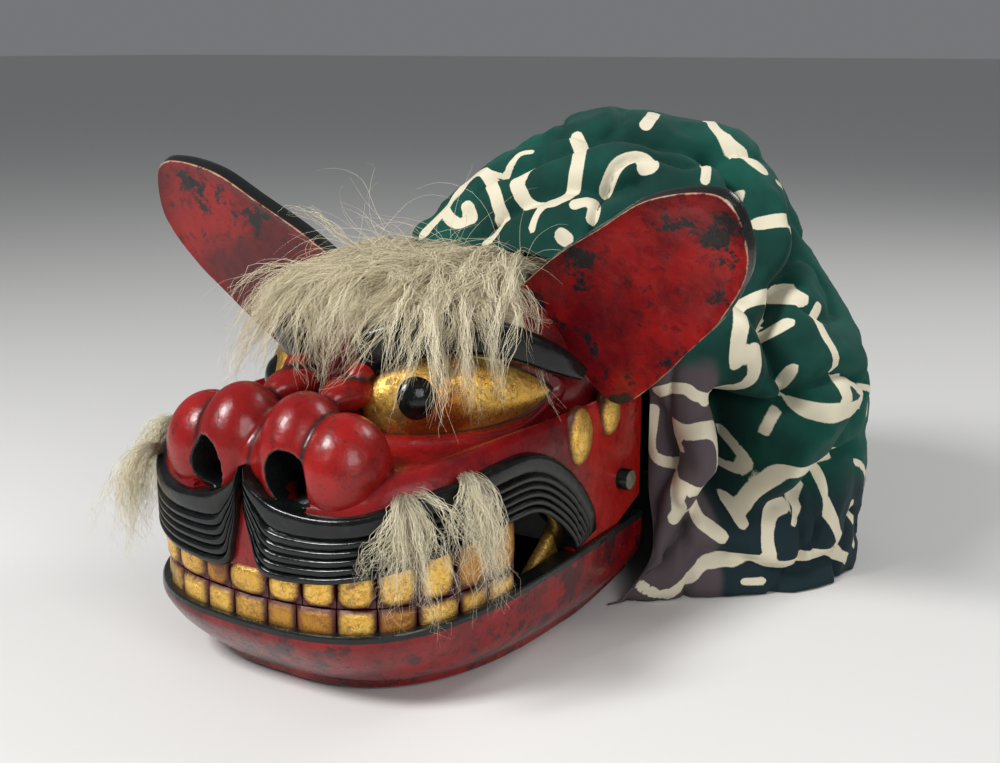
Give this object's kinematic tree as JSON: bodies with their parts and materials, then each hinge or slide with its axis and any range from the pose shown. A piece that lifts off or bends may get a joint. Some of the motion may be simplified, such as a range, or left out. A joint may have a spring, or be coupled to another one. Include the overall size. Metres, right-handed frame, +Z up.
{
  "type": "lion dance mask",
  "caption": "Carved, lacquered wooden lion head mask with hinged lower jaw, upright ears, horsehair forelock and whiskers, and a printed cotton body cloth bundled behind it.",
  "frame": {"origin": "on the flat underside of the lower jaw, midway between its sides", "axes": "+Z up, -Y the way the lion faces, +X the lion's left side"},
  "size_m": [0.5022, 0.5619, 0.3527],
  "materials": {
    "head": "red lacquer over carved wood, with gold and black details, glossy and worn",
    "lower_jaw": "red lacquer over carved wood, gilded teeth",
    "peg": "black lacquer",
    "ear": "red lacquer in front, black at the back, worn",
    "hair": "loose pale horsehair",
    "cloth": "dyed cotton with a white arabesque print, creased"
  },
  "bodies": {
    "head": {"head": "head", "ear_left": "ear", "ear_right": "ear", "pivot_peg_left": "peg", "pivot_peg_right": "peg", "forelock": "hair", "whiskers_front_left": "hair", "whiskers_rear_left": "hair", "whiskers_front_right": "hair", "whiskers_rear_right": "hair", "body_cloth": "cloth"},
    "jaw": {"lower_jaw": "lower_jaw"}
  },
  "joints": [
    {"name": "jaw", "type": "hinge", "parent": "head", "child": "jaw", "pos_m": [0, 0.104, 0.096], "axis": [1, 0, 0], "range_deg": [0, 18]}
  ]
}
